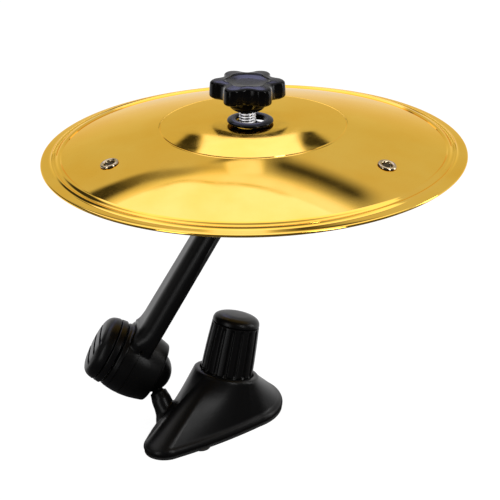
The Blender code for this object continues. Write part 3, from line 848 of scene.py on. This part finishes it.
def bell_window(add, calc, height, turn):
    """A small bright window over the horizon, with leaning dark frames at its sides and a dark sill."""
    sideways = calc("ABSOLUTE", turn)
    rise = calc("SUBTRACT", height, WINDOW_SILL)
    frame_at = calc("ADD", 3.3, calc("MULTIPLY", rise, 0.40))
    frame_half = calc("ADD", 0.45, calc("MULTIPLY", rise, 0.17))
    off = calc("SUBTRACT", sideways, frame_at)
    above_sill = ramp(add, rise, -0.12, 0.12, 0.0, 1.0, "SMOOTHSTEP")
    below_top = ramp(add, rise, 9.0, 13.0, 1.0, 0.0, "SMOOTHSTEP")
    inside = ramp(add, calc("ADD", off, frame_half), -0.15, 0.25, 1.0, 0.0, "SMOOTHSTEP")
    bright = calc("MULTIPLY", calc("MULTIPLY", inside, above_sill), below_top)
    beside = calc("SUBTRACT", calc("ABSOLUTE", off), frame_half)
    frame = ramp(add, beside, -0.25, 0.5, 1.0, 0.0, "SMOOTHSTEP")
    frame = calc("MULTIPLY", calc("MULTIPLY", frame, above_sill), ramp(add, rise, 4.0, 7.0, 1.0, 0.0))
    sill = ramp(add, calc("ABSOLUTE", calc("ADD", rise, 0.8)), 0.68, 0.85, 1.0, 0.0, "SMOOTHSTEP")
    sill = calc("MULTIPLY", sill, ramp(add, sideways, 1.5, 1.7, 1.0, 0.0, "SMOOTHSTEP"))
    frames = calc("MULTIPLY", calc("MAXIMUM", frame, sill), FRAME_DEPTH)
    return calc("MULTIPLY", bright, WINDOW_LEVEL), frames


def make_floor():
    """Pale paper: the camera sees it almost white, other rays see it grey, with a glow behind the object."""
    verts = [(x, y, -0.05) for x, y in ((-4000, -4000), (4000, -4000), (4000, 4000), (-4000, 4000))]
    floor = mesh_object("floor", verts, [(0, 1, 2, 3)], place())
    mat = bpy.data.materials.new("paper_floor")
    mat.use_nodes = True
    shader = mat.node_tree.nodes["Principled BSDF"]
    shader.inputs["Base Color"].default_value = (0.12, 0.12, 0.12, 1)
    shader.inputs["Roughness"].default_value = 0.9
    shader.inputs["Specular IOR Level"].default_value = 0.0
    shader.inputs["Emission Color"].default_value = (1, 1, 1, 1)
    add, calc = node_tree(mat.node_tree)
    seen = add("ShaderNodeLightPath").outputs["Is Camera Ray"]
    along = add("ShaderNodeSeparateXYZ", {0: add("ShaderNodeTexCoord").outputs["Object"]}).outputs["Y"]
    rear = ramp(add, along, 0.005, 0.05, 0.0, FLOOR_REAR, "SMOOTHSTEP")
    feed(mat, shader, "Emission Strength", calc("MAXIMUM", calc("MULTIPLY", seen, FLOOR_SEEN), rear))
    floor.data.materials.append(mat)


def soft_box(name, at, aim, size, power):
    """A soft box at one point in millimetres, facing another."""
    light = bpy.data.lights.new(name, "AREA")
    light.shape = "RECTANGLE"
    light.size, light.size_y = (s * MM for s in size)
    light.energy = power
    lamp = bpy.data.objects.new(name, light)
    bpy.context.scene.collection.objects.link(lamp)
    lamp.matrix_world = place(at, (Vector(at) - Vector(aim)).normalized())
    lamp.visible_camera = False


def make_camera():
    """The photograph's viewing angle, with its slight roll."""
    pitch, roll = math.radians(CAMERA_PITCH), math.radians(CAMERA_ROLL)
    back = Vector((0, -math.cos(pitch), math.sin(pitch)))
    level, upright = Vector((1, 0, 0)), Vector((0, math.sin(pitch), math.cos(pitch)))
    right = level * math.cos(roll) + upright * math.sin(roll)
    up = upright * math.cos(roll) - level * math.sin(roll)
    camera = bpy.data.objects.new("camera", bpy.data.cameras.new("camera"))
    bpy.context.scene.collection.objects.link(camera)
    turn = Matrix((right, up, back)).transposed().to_4x4()
    camera.matrix_world = Matrix.Translation(Vector(CAMERA_AT) * MM) @ turn
    camera.data.lens = CAMERA_LENS
    camera.data.sensor_width = 36
    camera.data.clip_start, camera.data.clip_end = 0.01, 50
    bpy.context.scene.camera = camera
    bpy.context.scene.view_settings.view_transform = "Standard"


def main():
    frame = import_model()
    make_camera()
    metal = gold("cymbal_gold", (0.97, 0.56, 0.075), (1.0, 0.64, 0.115), 0.045, 0.03)
    ring_metal = gold("eyelet_gold", (0.42, 0.33, 0.20), (0.60, 0.50, 0.34), 0.16, 0.01)
    steel, insert = zinc(), brass_insert()
    satin = moulded("satin_black", (0.0035, 0.0035, 0.0037), 0.32, 0.22)
    gloss = moulded("gloss_black", (0.0025, 0.0025, 0.0027), 0.16, 0.13, grain=0.002)
    cloth, soft, plain = felt(), rubber(), nylon()
    make_cymbal(metal, ring_metal)
    make_stud(steel)
    make_washers(cloth, gloss)
    make_star_knob(gloss)
    make_arm(satin)
    make_rear_knob(satin)
    make_ball(satin)
    make_housing(satin)
    make_pad(soft)
    make_dial(satin)
    kept = {"base_plate": satin, "knob_insert": insert, "clamp_screw": steel, "thrust_washer": steel}
    kept |= {"pull_stem": steel, "sleeve": satin, "socket_liner": plain, "brake_shoe": plain}
    kept |= {f"base_screw_{i}": steel for i in (1, 2, 3)}
    finish_frame(frame["nodes"], kept)
    hide_from_mirrors()
    make_world()
    make_floor()
    soft_box("left_box", (-560, -620, 330), (-30, 0, 50), (230, 700), 1.4)
    soft_box("right_strip", (620, 60, 120), (0, 0, 50), (120, 600), 1.0)
    soft_box("front_strip", (330, -400, 430), (-20, -15, 10), (90, 520), 1.3)


main()
